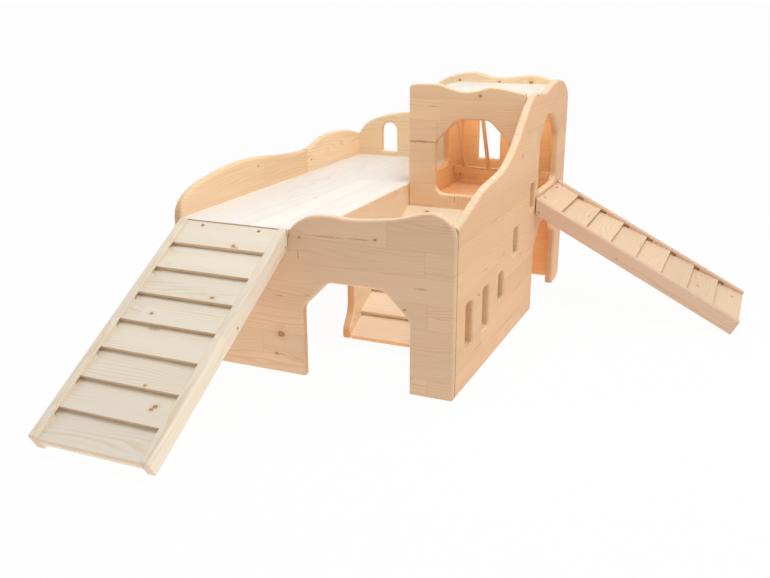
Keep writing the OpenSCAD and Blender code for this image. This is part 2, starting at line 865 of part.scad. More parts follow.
module ramp_screw_set(z, a, gap = 0) {
    head_z = under_tread(z, a, t / 2) + tread_t / cos(a) - tread_sink;
    middle = ramp_point(z, a, middle_s, (tread_n(middle_tread, middle_s) - tread_t + middle_low) / 2);
    for (side = [-1, 1]) {
        translate([side * tread_screw_x, t / 2, head_z])
            screw(tread_screw_len, gap, gap > 0 ? t : 0);
        for (p = [[t / 2, plug_z(z, a)], middle])
            translate([side * (ramp_w / 2 - screw_sink), p.x, p.y])
                rotate([0, side * 90, 0])
                    screw(rail_screw_len, gap, gap > 0 ? over : 0);
    }
}

module ramp_node(name, z, a) {
    if (name == "rail_a") color(wood) rail(-1, z, a);
    if (name == "rail_b") color(wood) rail(1, z, a);
    if (name == "hanger_batten") color(wood_edge) hanger_batten(z, a);
    if (name == "middle_batten") color(wood_edge) middle_batten(z, a);
    if (name == "foot_batten") color(wood_edge) foot_batten(z, a);
    if (name == "plug_dowels") color(dowel_wood) plugs(z, a);
    if (name == "screws") color(steel) ramp_screw_set(z, a);
}

module left_ramp(name) {
    at_origin() at_left_ramp() ramp_node(name, left_rail_z, left_slope);
}

module right_ramp(name) {
    at_origin() at_right_ramp() ramp_node(name, right_rail_z, right_slope);
}

module left_ramp_tread(i) {
    color(wood) at_origin() at_left_ramp() tread(i, left_rail_z, left_slope);
}

module right_ramp_tread(i) {
    color(wood) at_origin() at_right_ramp() tread(i, right_rail_z, right_slope);
}

front_wall();
left_wall_front();
left_wall_rear();
back_wall();
right_wall();
tower_front_wall();
tower_side_wall();
main_deck();
tower_floor();
tower_roof();
stair_side_panel();
deck_ledger_left();
deck_ledger_back();
floor_ledger(tower_in_y);  // floor_ledger_front
floor_ledger(back_y - ledger);  // floor_ledger_back
rack_bar(rack_low_y, rack_low_z);  // rack_lower_batten
rack_bar(rack_high_y, rack_high_z);  // rack_upper_batten
rack_dowels();
stair_stringer(bay_x);  // stair_stringer_left
stair_stringer(right_x - t);  // stair_stringer_right
for (i = [1 : stair_treads])
    stair_tread(i);
corner_dowels();
batten_screws();
for (n = ["rail_a", "rail_b", "hanger_batten", "middle_batten", "foot_batten", "plug_dowels", "screws"]) {
    left_ramp(n);
    right_ramp(n);
}
for (i = [1 : ramp_treads]) {
    left_ramp_tread(i);
    right_ramp_tread(i);
}
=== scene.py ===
import json
import random
from math import radians

import bmesh
import bpy
from mathutils import Matrix, Vector

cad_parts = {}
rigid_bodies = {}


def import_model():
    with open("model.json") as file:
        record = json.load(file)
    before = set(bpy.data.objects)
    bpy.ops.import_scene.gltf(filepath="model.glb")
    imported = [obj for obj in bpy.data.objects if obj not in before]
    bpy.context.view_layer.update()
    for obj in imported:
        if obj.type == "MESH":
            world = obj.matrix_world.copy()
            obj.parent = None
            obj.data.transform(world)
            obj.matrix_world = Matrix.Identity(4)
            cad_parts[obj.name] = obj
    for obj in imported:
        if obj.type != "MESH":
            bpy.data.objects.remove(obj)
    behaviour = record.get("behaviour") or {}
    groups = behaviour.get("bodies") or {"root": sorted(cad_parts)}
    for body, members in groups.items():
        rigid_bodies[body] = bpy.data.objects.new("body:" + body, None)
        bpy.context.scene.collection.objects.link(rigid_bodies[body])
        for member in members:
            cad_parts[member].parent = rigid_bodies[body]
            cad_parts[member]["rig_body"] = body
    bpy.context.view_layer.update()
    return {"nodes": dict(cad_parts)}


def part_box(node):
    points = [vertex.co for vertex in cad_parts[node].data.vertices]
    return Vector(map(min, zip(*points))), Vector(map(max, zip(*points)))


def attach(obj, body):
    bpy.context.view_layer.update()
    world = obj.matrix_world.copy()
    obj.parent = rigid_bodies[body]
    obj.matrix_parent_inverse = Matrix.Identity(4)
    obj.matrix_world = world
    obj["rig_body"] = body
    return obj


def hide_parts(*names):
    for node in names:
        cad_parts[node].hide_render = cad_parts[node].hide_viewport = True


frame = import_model()
nodes = frame["nodes"]
scene = bpy.context.scene
mm = 0.001
xAxis, yAxis, zAxis = Vector((1, 0, 0)), Vector((0, 1, 0)), Vector((0, 0, 1))
print("frame loaded:", len(nodes), "nodes")

# Places on the castle are given in mm from its front left floor corner
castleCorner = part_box("left_wall_front")[0]


def fromCorner(x, y, z):
    return castleCorner + Vector((x, y, z)) * mm


# Nodes of a numbered row, such as the treads of a ramp
def numbered(prefix):
    return sorted(name for name in nodes if name.startswith(prefix))


# Shader helpers: a value may be a number or the output of another node
def feed(tree, socket, value):
    if isinstance(value, bpy.types.NodeSocket):
        tree.links.new(value, socket)
    else:
        socket.default_value = value


def addNode(tree, kind, inputs, **settings):
    node = tree.nodes.new("ShaderNode" + kind)
    for name, value in settings.items():
        setattr(node, name, value)
    for name, value in inputs.items():
        feed(tree, node.inputs[name], value)
    return node


def calc(tree, operation, *values):
    return addNode(tree, "Math", dict(enumerate(values)), operation=operation).outputs["Value"]


def combine(tree, x, y, z):
    return addNode(tree, "CombineXYZ", {"X": x, "Y": y, "Z": z}).outputs["Vector"]


# Smooth change from outLow to outHigh as the value goes from low to high
def fade(tree, value, low, high, outLow=0.0, outHigh=1.0):
    limits = {"Value": value, "From Min": low, "From Max": high, "To Min": outLow, "To Max": outHigh}
    return addNode(tree, "MapRange", limits, interpolation_type="SMOOTHSTEP").outputs["Result"]


def noise(tree, coords, scale, detail=2.0):
    return addNode(tree, "TexNoise", {"Vector": coords, "Scale": scale, "Detail": detail}).outputs["Fac"]


def stretched(tree, coords, scale):
    return addNode(tree, "Mapping", {"Vector": coords, "Scale": scale}).outputs["Vector"]


def blendColor(tree, kind, factor, a, b):
    node = addNode(tree, "Mix", {"Factor": factor}, data_type="RGBA", blend_type=kind)
    for socket, value in zip([s for s in node.inputs if s.type == "RGBA"], (a, b)):
        feed(tree, socket, value if isinstance(value, bpy.types.NodeSocket) else (*value, 1))
    return [s for s in node.outputs if s.type == "RGBA"][0]


# How squarely the surface faces along a direction, either way
def facing(tree, place, direction):
    node = addNode(tree, "VectorMath", {0: place.outputs["Normal"], 1: direction}, operation="DOT_PRODUCT")
    return calc(tree, "ABSOLUTE", node.outputs["Value"])


def newMaterial(name):
    material = bpy.data.materials.new(name)
    material.use_nodes = True
    return material, material.node_tree, material.node_tree.nodes["Principled BSDF"]


def addBump(tree, shader, height, strength, distance):
    bump = addNode(tree, "Bump", {"Height": height, "Strength": strength, "Distance": distance})
    feed(tree, shader.inputs["Normal"], bump.outputs["Normal"])


# Lengths in metres. A range gives the values faded between, and then what they fade to
spruce = {
    "stripWidth": 0.0495,                       # a panel is glued up from strips
    "blockLength": 0.52,                        # and a strip is pieced together end to end
    "plankLength": 1.5,                         # a plain plank has no joints in it
    "countFrom": 50.0,                          # strips and blocks are counted from outside the castle
    "seedStep": 7.0,
    "stripStagger": 5.0,                        # each strip is pieced together at other places
    "blockShift": (7.0, 3.0),                   # each block is cut from another part of the tree
    "wobbleScale": 160.0,
    "knotWobble": 0.55,
    "markWobble": 0.006,
    "slowStretch": (1.3, 9.0, 9.0),
    "slowScale": 1.6,
    "ringGap": 0.0062,
    "ringCount": (0.55, 0.9),                   # least share of rings in a block, and what is added at most
    "ringTilt": 0.3,
    "ringWarp": 14.0,
    "ringKnotRange": (0.4, 4.2, 3.4, 0.0),      # rings sweep round a knot
    "lateRange": (0.25, 0.9),                   # dark late wood builds up slowly
    "lateEndRange": (0.92, 1.0, 1.0, 0.0),      # and ends at once
    "patchStretch": (2.0, 24.0, 24.0),
    "patchScale": 1.5,
    "patchRange": (0.30, 0.72, 0.12, 0.85),
    "ringTint": (0.915, 0.82, 0.70),
    "stripChange": 0.085,                       # difference in lightness between blocks
    "cloudScale": 0.7,
    "cloudChange": 0.10,
    "fibreStretch": (10.0, 620.0, 620.0),
    "fibreChange": 0.09,
    # where the painted edge shading gives way to the face tone
    "edgeShadingRange": (0.55, 0.9),
    "glueLine": 0.0008,
    "glueDepth": {"strip": 0.30, "block": 0.50},
    "glueTint": (0.70, 0.55, 0.42),
    "endRange": (0.62, 0.92),
    "endTint": (0.82, 0.70, 0.56),
    "poreScale": 900.0,
    "poreRange": (0.35, 0.75, 0.55, 1.0),
    "knotRim": (0.150, 0.075, 0.035),
    "knotRange": (0.75, 1.1, 0.82, 0.0),
    "knotHeart": (0.36, 0.20, 0.10),
    "heartRange": (0.45, 0.85, 1.0, 0.0),
    "knotHalo": (0.90, 0.74, 0.56),
    "haloRange": (1.0, 3.0, 0.55, 0.0),
    "markTone": (0.30, 0.145, 0.065),
    "markRange": (0.35, 1.3),
    "roughness": 0.50,
    "fibreRough": 0.16,
    "ringRough": -0.08,
    "specular": 0.4,
    "relief": {"rings": 0.5, "fibre": 0.45, "glue": -0.9},
    "bumpStrength": 0.4,
    "bump": 0.0004,
}


# Rotation whose rows are the grain, the direction across it and the board's thickness
def woodTurn(grain, across):
    g = grain.normalized()
    a = (across - across.dot(g) * g).normalized()
    return Matrix((g, a, g.cross(a)))


# Where a point lies along the grain, across it and through the board
def woodPlace(tree, grain, across):
    turn = woodTurn(grain, across)
    place = addNode(tree, "TexCoord", {})
    turning = {"Vector": place.outputs["Object"], "Rotation": turn.to_euler("XYZ")}
    spot = addNode(tree, "Mapping", turning).outputs["Vector"]
    along, side, depth = addNode(tree, "SeparateXYZ", {"Vector": spot}).outputs
    return {"turn": turn, "place": place, "spot": spot, "along": along, "side": side, "depth": depth}


# Glued strips, each pieced together from blocks with their own lightness and grain, or planks
def woodBlocks(tree, wood, plank, seamAt, seed):
    stripWidth = plank or spruce["stripWidth"]
    blockLength = spruce["plankLength"] if plank else spruce["blockLength"]
    countFrom = spruce["countFrom"]
    stripAt = calc(tree, "MULTIPLY_ADD", wood["side"], 1 / stripWidth, countFrom - seamAt / stripWidth)
    strip = calc(tree, "FLOOR", stripAt)
    stripSeed = calc(tree, "ADD", strip, seed * spruce["seedStep"])
    stripChance = addNode(tree, "TexWhiteNoise", {"W": stripSeed}, noise_dimensions="1D").outputs["Value"]
    blockAt = calc(tree, "MULTIPLY_ADD", wood["along"], 1 / blockLength, countFrom)
    blockAt = calc(tree, "MULTIPLY_ADD", stripChance, spruce["stripStagger"], blockAt)
    block = calc(tree, "FLOOR", blockAt)
    blockSeed = combine(tree, strip, block, float(seed))
    blockChance = addNode(tree, "TexWhiteNoise", {"Vector": blockSeed}, noise_dimensions="3D")
    chances = addNode(tree, "SeparateColor", {"Color": blockChance.outputs["Color"]})
    lightness, shiftAlong, shiftSide = chances.outputs
    farAlong, farSide = spruce["blockShift"]
    wood["grain"] = combine(tree, calc(tree, "MULTIPLY_ADD", shiftAlong, farAlong, wood["along"]),
                            calc(tree, "MULTIPLY_ADD", shiftSide, farSide, wood["side"]), wood["depth"])
    wood["slow"] = stretched(tree, wood["grain"], spruce["slowStretch"])
    wood["lightness"], wood["ringChance"] = lightness, shiftSide
    wood["joints"] = {"strip": (stripAt, stripWidth), "block": (blockAt, blockLength)}


# Distance from the nearest of some ovals lying along the grain, 1 at the rim
def ovalDistance(tree, wood, side, ovals):
    nearest = None
    for spot, halfAlong, halfAcross in ovals:
        centre = wood["turn"] @ spot
        du = calc(tree, "MULTIPLY", calc(tree, "SUBTRACT", wood["along"], centre.x), 1 / (halfAlong * mm))
        dv = calc(tree, "MULTIPLY", calc(tree, "SUBTRACT", side, centre.y), 1 / (halfAcross * mm))
        square = calc(tree, "MULTIPLY_ADD", du, du, calc(tree, "MULTIPLY", dv, dv))
        nearest = square if nearest is None else calc(tree, "MINIMUM", nearest, square)
    return calc(tree, "SQRT", nearest)


# Growth rings, bent by slow noise and swept round the knots
def growthRings(tree, wood, knotAt):
    least, added = spruce["ringCount"]
    ringGap = spruce["ringGap"]
    across = calc(tree, "MULTIPLY_ADD", wood["depth"], spruce["ringTilt"] / ringGap,
                  calc(tree, "MULTIPLY", wood["side"], 1 / ringGap))
    bend = calc(tree, "MULTIPLY", noise(tree, wood["slow"], spruce["slowScale"]), spruce["ringWarp"])
    count = calc(tree, "MULTIPLY_ADD", wood["ringChance"], added, least)
    phase = calc(tree, "MULTIPLY_ADD", count, across, bend)
    if knotAt:
        phase = calc(tree, "ADD", phase, fade(tree, knotAt, *spruce["ringKnotRange"]))
    ringAt = calc(tree, "FRACT", phase)
    late = calc(tree, "MULTIPLY", fade(tree, ringAt, *spruce["lateRange"]),
                fade(tree, ringAt, *spruce["lateEndRange"]))
    patches = noise(tree, stretched(tree, wood["grain"], spruce["patchStretch"]), spruce["patchScale"])
    return calc(tree, "MULTIPLY", late, fade(tree, patches, *spruce["patchRange"]))


# The board's tone with its blocks, clouds, fibres and rings, and on its edges a second tone of painted
# shading: painted highlight on rounded wall edges, painted shade on tread risers, and the wood's own tone
# round the deck's painted pale top
def woodColor(tree, wood, tone, edgeShadingTone, fibre, rings):
    cloud = noise(tree, wood["slow"], spruce["cloudScale"], 3.0)
    level = 1.0
    changes = {"stripChange": wood["lightness"], "cloudChange": cloud, "fibreChange": fibre}
    for amount, change in changes.items():
        level = calc(tree, "MULTIPLY_ADD", calc(tree, "SUBTRACT", change, 0.5), spruce[amount], level)
    if edgeShadingTone:
        onFace = fade(tree, facing(tree, wood["place"], wood["turn"][2]), *spruce["edgeShadingRange"])
        tone = blendColor(tree, "MIX", onFace, edgeShadingTone, tone)
    color = blendColor(tree, "MULTIPLY", 1.0, tone, combine(tree, level, level, level))
    return tinted(tree, rings, color, spruce["ringTint"])


def tinted(tree, factor, color, tint):
    return blendColor(tree, "MIX", factor, color, blendColor(tree, "MULTIPLY", 1.0, color, tint))


# 1 on the glue lines between strips and at the butted ends of blocks
def glueLines(tree, wood):
    lines = []
    for joint, (at, width) in wood["joints"].items():
        nearest = calc(tree, "PINGPONG", at, 0.5)
        lines.append(fade(tree, nearest, 0.0, spruce["glueLine"] / width, spruce["glueDepth"][joint], 0.0))
    return calc(tree, "MAXIMUM", *lines)


# Pores on faces cut across the fibres
def endGrain(tree, wood, color):
    endFace = fade(tree, facing(tree, wood["place"], wood["turn"][0]), *spruce["endRange"])
    pores = fade(tree, noise(tree, wood["spot"], spruce["poreScale"]), *spruce["poreRange"])
    porous = blendColor(tree, "MULTIPLY", pores, color, spruce["endTint"])
    return blendColor(tree, "MIX", endFace, color, porous)


# A dark rim, a brown heart and a warm halo
def knotColor(tree, knotAt, color):
    color = tinted(tree, fade(tree, knotAt, *spruce["haloRange"]), color, spruce["knotHalo"])
    heart = fade(tree, knotAt, *spruce["heartRange"])
    knot = blendColor(tree, "MIX", heart, spruce["knotRim"], spruce["knotHeart"])
    return blendColor(tree, "MIX", fade(tree, knotAt, *spruce["knotRange"]), color, knot)


# Streaks, resin lines and small cracks
def markColor(tree, wood, wobble, marks, markDepth, color):
    side = calc(tree, "MULTIPLY_ADD", wobble, spruce["markWobble"], wood["side"])
    markAt = ovalDistance(tree, wood, side, marks)
    return blendColor(tree, "MIX", fade(tree, markAt, *spruce["markRange"], markDepth, 0.0), color,
                      spruce["markTone"])


def spruceWood(name, grain, across, tone, seed, knots=(), marks=(), plank=0.0, seamAt=0.0, markDepth=0.5,
               edgeShadingTone=None):
    material, tree, shader = newMaterial(name)
    wood = woodPlace(tree, grain, across)
    woodBlocks(tree, wood, plank, seamAt, seed)
    wobble = calc(tree, "SUBTRACT", noise(tree, wood["spot"], spruce["wobbleScale"]), 0.5)
    knotAt = None
    if knots:
        knotAt = ovalDistance(tree, wood, wood["side"], knots)
        knotAt = calc(tree, "MULTIPLY_ADD", wobble, spruce["knotWobble"], knotAt)
    rings = growthRings(tree, wood, knotAt)
    fibre = noise(tree, stretched(tree, wood["grain"], spruce["fibreStretch"]), 1.0, 3.0)
    color = woodColor(tree, wood, tone, edgeShadingTone, fibre, rings)
    relief = spruce["relief"]
    height = calc(tree, "MULTIPLY", fibre, relief["fibre"])
    height = calc(tree, "MULTIPLY_ADD", rings, relief["rings"], height)
    if not plank:
        glue = glueLines(tree, wood)
        color = tinted(tree, glue, color, spruce["glueTint"])
        height = calc(tree, "MULTIPLY_ADD", glue, relief["glue"], height)
    color = endGrain(tree, wood, color)
    if knots:
        color = knotColor(tree, knotAt, color)
    if marks:
        color = markColor(tree, wood, wobble, marks, markDepth, color)
    feed(tree, shader.inputs["Base Color"], color)
    rough = calc(tree, "MULTIPLY_ADD", fibre, spruce["fibreRough"], spruce["roughness"])
    rough = calc(tree, "MULTIPLY_ADD", rings, spruce["ringRough"], rough)
    feed(tree, shader.inputs["Roughness"], rough)
    shader.inputs["Specular IOR Level"].default_value = spruce["specular"]
    addBump(tree, shader, height, spruce["bumpStrength"], spruce["bump"])
    return material


# Meshes: a merged copy of a board, its outline marked for rounding
copying = {"mergeGap": 0.01 * mm, "flatAngle": radians(0.4)}


def mergedCopy(nodeName):
    bm = bmesh.new()
    bm.from_mesh(nodes[nodeName].data)
    bmesh.ops.remove_doubles(bm, verts=bm.verts[:], dist=copying["mergeGap"])
    bmesh.ops.dissolve_limit(bm, angle_limit=copying["flatAngle"], verts=bm.verts[:], edges=bm.edges[:])
    return bm


# The points of each separate solid in a mesh
def looseIslands(bm):
    left = set(bm.verts)
    while left:
        todo = [left.pop()]
        island = []
        while todo:
            vert = todo.pop()
            island.append(vert.co.copy())
            for edge in vert.link_edges:
                other = edge.other_vert(vert)
                if other in left:
                    left.remove(other)
                    todo.append(other)
        yield island


def boxOf(points):
    low = Vector([min(p[i] for p in points) for i in range(3)])
    high = Vector([max(p[i] for p in points) for i in range(3)])
    return low, high


def longestEdge(bm):
    edge = max(bm.edges, key=lambda e: e.calc_length())
    return (edge.verts[1].co - edge.verts[0].co).normalized()


# Drilled holes lie round the dowels and screws, and their rims stay sharp
drilling = {"margin": 1.4, "nodes": ["corner_dowels", "batten_screws", "left_ramp_plug_dowels",
                                     "left_ramp_screws", "right_ramp_plug_dowels", "right_ramp_screws"]}
drillings = []
for nodeName in drilling["nodes"]:
    fixings = mergedCopy(nodeName)
    margin = Vector((1, 1, 1)) * drilling["margin"] * mm
    for island in looseIslands(fixings):
        low, high = boxOf(island)
        drillings.append((low - margin, high + margin))
    fixings.free()
print("drillings found:", len(drillings))


def inDrilling(edge):
    spots = [v.co for v in edge.verts]
    return any(all(low[i] <= p[i] <= high[i] for p in spots for i in range(3)) for low, high in drillings)


# A rule is a plane (direction, place) and the share of the rounding that edges on it get
def sideRules(nodeName, shares):
    low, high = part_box(nodeName)
    rules = []
    for side, share in shares.items():
        direction = {"x": xAxis, "y": yAxis, "z": zAxis}[side[0]]
        rules.append((direction, direction.dot(low if side.endswith("Low") else high), share))
    return rules


def pieceFrom(bm, name, material):
    mesh = bpy.data.meshes.new(name)
    bm.to_mesh(mesh)
    bm.free()
    mesh.materials.append(material)
    piece = bpy.data.objects.new(name, mesh)
    scene.collection.objects.link(piece)
    return piece


def stands(piece, nodeName):
    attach(piece, nodes[nodeName]["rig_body"])
    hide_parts(nodeName)
    return piece


# Roundings in mm. Edges under the shortest length stay sharp, and share 0 leaves all but the rules sharp
cornerAngle = radians(38)
onPlane = 0.12 * mm
rounding = {
    "wall": {"radius": 6.2},
    "rail": {"radius": 4.0, "share": 0.0},
    "tread": {"radius": 1.3, "shortest": 100, "segments": 3},
    "batten": {"radius": 1.6, "shortest": 12, "segments": 2},
    "hanger": {"radius": 0.4, "shortest": 12, "segments": 2},
    "dowel": {"radius": 0.0, "share": 0.0},
}


def roundedPiece(nodeName, material, radius, rules=(), share=1.0, shortest=0, segments=4):
    bm = mergedCopy(nodeName)
    weight = bm.edges.layers.float.new("bevel_weight_edge")
    for face in bm.faces:
        face.smooth = True
    for edge in bm.edges:
        if len(edge.link_faces) != 2 or edge.calc_face_angle() < cornerAngle:
            continue
        found = [s for d, at, s in rules if all(abs(d.dot(v.co) - at) < onPlane for v in edge.verts)]
        amount = min(found) if found else share
        if inDrilling(edge) or edge.calc_length() < shortest * mm:
            amount = 0.0
        edge[weight] = amount
        edge.smooth = amount > 0
    piece = pieceFrom(bm, nodeName + "_wood", material)
    bevel = piece.modifiers.new("rounding", "BEVEL")
    bevel.limit_method = "WEIGHT"
    bevel.width = radius * mm
    bevel.segments = segments
    bevel.profile = 0.5
    bevel.use_clamp_overlap = False
    bevel.loop_slide = False
    flats = piece.modifiers.new("flat_faces", "WEIGHTED_NORMAL")
    flats.keep_sharp = True
    return stands(piece, nodeName)


# Knots scattered over the parts of a board that no photo shows, below the given height
anyHeight = 9000
scatteredKnot = (2.5, 5.5)


def scatter(nodeName, count, seed, below=anyHeight):
    draw = random.Random(seed)
    low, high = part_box(nodeName)
    high.z = min(high.z, below * mm)
    spots = [Vector([draw.uniform(low[i], high[i]) for i in range(3)]) for i in range(count)]
    return [oval(spot, draw.uniform(*scatteredKnot)) for spot in spots]


def oval(spot, radius, stretch=1.25):
    return spot, radius * stretch, radius


# Knots: x, y, z and half width. Marks: x, y, z, half length and half width
panelTone = (0.825, 0.540, 0.312)
panelMarkDepth = 0.42
# The deck's and the roof's pale grey face tones are painted highlight, for the strong light on their tops;
# their edges keep the wood's own tone
deckLitTone = (0.838, 0.818, 0.778)
deckEdgeTone = (0.880, 0.720, 0.510)
dowelled = 0.78             # corners with dowel holes close to the edge
panels = {
    # The paler edge tones of the front wall, right wall and tower front are painted highlight, for the
    # strong light along their rounded edges
    "front_wall": {
        "grain": xAxis, "across": zAxis, "seamAt": 36, "seed": 3,
        "tone": (0.800, 0.535, 0.343), "edgeShadingTone": (0.800, 0.605, 0.430),
        "sharp": {"xLow": 0.0, "xHigh": dowelled, "zLow": 0.3},
        "knots": [(239, 0, 82, 6.0), (227, 0, 39, 2.2), (445, 0, 296, 2.4), (287, 0, 285, 1.8),
                  (504, 0, 169, 2.0)],
        "marks": [(283, 0, 250, 1.6, 9), (350, 0, 292, 40, 1.3), (414, 0, 294, 26, 1.6),
                  (238, 0, 162, 12, 1.3), (300, 0, 171, 8, 1.3), (535, 0, 213, 12, 2.2),
                  (232, 0, 39, 18, 0.9), (578, 0, 160, 16, 0.8)],
    },
    "left_wall_front": {
        "grain": yAxis, "across": zAxis, "seamAt": 12, "seed": 5, "tone": (0.855, 0.625, 0.395),
        "sharp": {"yLow": dowelled, "yHigh": 0.3, "zLow": 0.3},
        "scattered": 5, "below": 270, "knots": [(18, 302, 353, 1.9)],
    },
    "left_wall_rear": {
        "grain": yAxis, "across": zAxis, "seamAt": 12, "seed": 8, "tone": (0.925, 0.715, 0.475),
        "sharp": {"yLow": 0.3, "yHigh": dowelled, "zLow": 0.3},
        "scattered": 3, "below": 270, "knots": [(18, 561, 327, 2.2)], "marks": [(18, 541, 357, 3, 6)],
    },
    "back_wall": {
        "grain": xAxis, "across": zAxis, "seamAt": 20, "seed": 12, "tone": (0.915, 0.700, 0.455),
        "sharp": {"xLow": 0.0, "xHigh": 0.0, "zLow": 0.3}, "scattered": 6, "below": 250,
        "knots": [(313, 852, 512, 3.0), (421, 852, 510, 3.0), (506, 852, 511, 4.5)],
    },
    "right_wall": {
        "grain": yAxis, "across": zAxis, "seamAt": 44, "seed": 15,
        "tone": (0.782, 0.480, 0.262), "edgeShadingTone": (0.780, 0.600, 0.405),
        "sharp": {"yLow": 0.0, "yHigh": dowelled, "zLow": 0.3},
        "knots": [(600, 439, 392, 3.2), (600, 148, 165, 2.4), (600, 547, 510, 2.4)],
        "marks": [(600, 288, 320, 1.0, 30), (600, 188, 206, 18, 1.2), (600, 318, 206, 3, 9),
                  (600, 465, 168, 26, 1.2), (600, 448, 94, 48, 1.2), (600, 385, 36, 100, 1.0),
                  (600, 160, 56, 70, 1.0), (600, 246, 294, 36, 0.9)],
    },
    "tower_front_wall": {
        "grain": xAxis, "across": zAxis, "seamAt": 400, "seed": 19,
        "tone": (0.872, 0.615, 0.390), "edgeShadingTone": (0.890, 0.695, 0.470),
        "sharp": {"xHigh": 0.0, "zLow": 0.3}, "radius": 4.9, "markDepth": 0.66,
        "knots": [(480, 504, 509, 3.0)],
        "marks": [(341, 504, 399, 44, 2.4), (424, 504, 270, 0.9, 11), (368, 504, 482, 14, 1.0)],
    },
    "tower_side_wall": {
        "grain": yAxis, "across": zAxis, "seamAt": 30, "seed": 23, "scattered": 2, "below": 270,
        "sharp": {"yLow": 0.0, "yHigh": 0.0, "zLow": 0.0, "zHigh": 0.0},
    },
    "stair_side_panel": {
        "grain": yAxis, "across": zAxis, "seamAt": 5, "seed": 27, "tone": (0.915, 0.780, 0.580),
        "sharp": {"zHigh": 0.0, "yHigh": 0.3}, "radius": 3.8,
        "knots": [(326, 135, 50, 2.0)], "marks": [(318, 300, 120, 30, 1.2)],
    },
    "main_deck": {
        "grain": yAxis, "across": xAxis, "seamAt": 30, "seed": 31,
        "tone": deckLitTone, "edgeShadingTone": deckEdgeTone,
        "sharp": {"xLow": 0.0, "yLow": 0.0, "yHigh": 0.0}, "radius": 2.5,
        "knots": [(180, 271, 298, 1.8), (259, 459, 298, 1.6)], "marks": [(120, 640, 298, 40, 1.4)],
    },
    "tower_floor": {
        "grain": yAxis, "across": xAxis, "seamAt": 10, "seed": 36, "tone": (0.855, 0.595, 0.405),
        "sharp": {}, "radius": 1.0, "scattered": 3,
    },
    "tower_roof": {
        "grain": yAxis, "across": xAxis, "seamAt": 18, "seed": 41,
        # pale grey roof tone: painted highlight on its top
        "tone": (0.800, 0.750, 0.675), "edgeShadingTone": deckEdgeTone,
        "sharp": {"xHigh": 0.0, "yLow": 0.0, "yHigh": 0.0}, "radius": 2.0, "scattered": 2,
    },
}


def knotsAt(places):
    return [oval(fromCorner(*place), halfWidth) for *place, halfWidth in places]


# Edges level with the deck's underside stay sharp, because the deck lies on them
def dressPanel(nodeName, board):
    knots = knotsAt(board.get("knots", []))
    knots += scatter(nodeName, board.get("scattered", 0), board["seed"], board.get("below", anyHeight))
    marks = [(fromCorner(*mark[:3]), *mark[3:]) for mark in board.get("marks", [])]
    seamAt = board["across"].dot(castleCorner) + board["seamAt"] * mm
    wood = spruceWood(nodeName + "_spruce", board["grain"], board["across"], board.get("tone", panelTone),
                      board["seed"], knots, marks, seamAt=seamAt,
                      markDepth=board.get("markDepth", panelMarkDepth), edgeShadingTone=board.get("edgeShadingTone"))
    rules = sideRules(nodeName, board["sharp"]) + [(zAxis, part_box("main_deck")[0].z, 0.0)]
    roundedPiece(nodeName, wood, board.get("radius", rounding["wall"]["radius"]), rules)


for nodeName, board in panels.items():
    dressPanel(nodeName, board)
print("panels made:", len(panels))

# Ramps: rails grooved for the treads, treads, and battens underneath
# Knots and marks: mm across from the castle's corner, mm down the slope, and half sizes
wholePlank = 0.3            # wider than any rail or batten, so that no seam shows
# The riser tones are painted shade: warm brown on the treads' edge faces, for the shadow in the gaps
# between treads
ramps = {
    "left": {
        "across": xAxis, "away": -yAxis, "seed": 50, "railKnots": 2,
        # The left ramp's tread and rail tones are the wood's tone with painted highlight added: paler than
        # the same spruce on the right ramp, for the light falling on it
        "treadTone": (0.840, 0.755, 0.630), "riserShadeTone": (0.800, 0.580, 0.390),
        "railTone": (0.840, 0.740, 0.600),
        "knots": [(33, 57, 2.6), (170, 56, 3.2), (192, 186, 3.4), (90, 240, 3.0), (32, 392, 2.6),
                  (169, 391, 2.6), (208, 424, 4.2), (205, 431, 3.4)],
        "marks": [(111, 270, 14, 5.0), (176, 60, 8, 2.5)],
    },
    "right": {
        "across": yAxis, "away": xAxis, "seed": 60, "railKnots": 2,
        "treadTone": (0.775, 0.575, 0.385), "riserShadeTone": (0.700, 0.420, 0.220),
        "railTone": (0.705, 0.490, 0.348),
        "knots": [(680, 420, 3.0), (745, 505, 3.0)],
        "marks": [(690, 120, 16, 2.0), (700, 260, 12, 1.8)],
    },
}
railShares = {"top": 1.0, "underside": 0.6, "foot": 0.45, "wallEnd": 0.45}


# The way down a ramp, the direction square to its treads, and the points of one rail
def rampLines(side, plan):
    rail = mergedCopy(side + "_ramp_rail_a")
    slope = longestEdge(rail)
    if slope.dot(plan["away"]) < 0:
        slope = -slope
    square = plan["across"].cross(slope).normalized()
    if square.z < 0:
        square = -square
    points = [v.co.copy() for v in rail.verts]
    rail.free()
    return slope, square, points


def dressRails(side, plan, slope, square, points):
    heights = [square.dot(p) for p in points]
    foot = max(slope.dot(p) for p in points)
    wallEnd = min(plan["away"].dot(p) for p in points)
    rules = [(square, max(heights), railShares["top"]), (square, min(heights), railShares["underside"]),
             (slope, foot, railShares["foot"]), (plan["away"], wallEnd, railShares["wallEnd"])]
    knots = scatter(side + "_ramp_rail_b", plan["railKnots"], plan["seed"])
    wood = spruceWood(side + "_rail_spruce", slope, square, plan["railTone"], plan["seed"], knots,
                      plank=wholePlank)
    for which in ("rail_a", "rail_b"):
        roundedPiece(side + "_ramp_" + which, wood, rules=rules, **rounding["rail"])


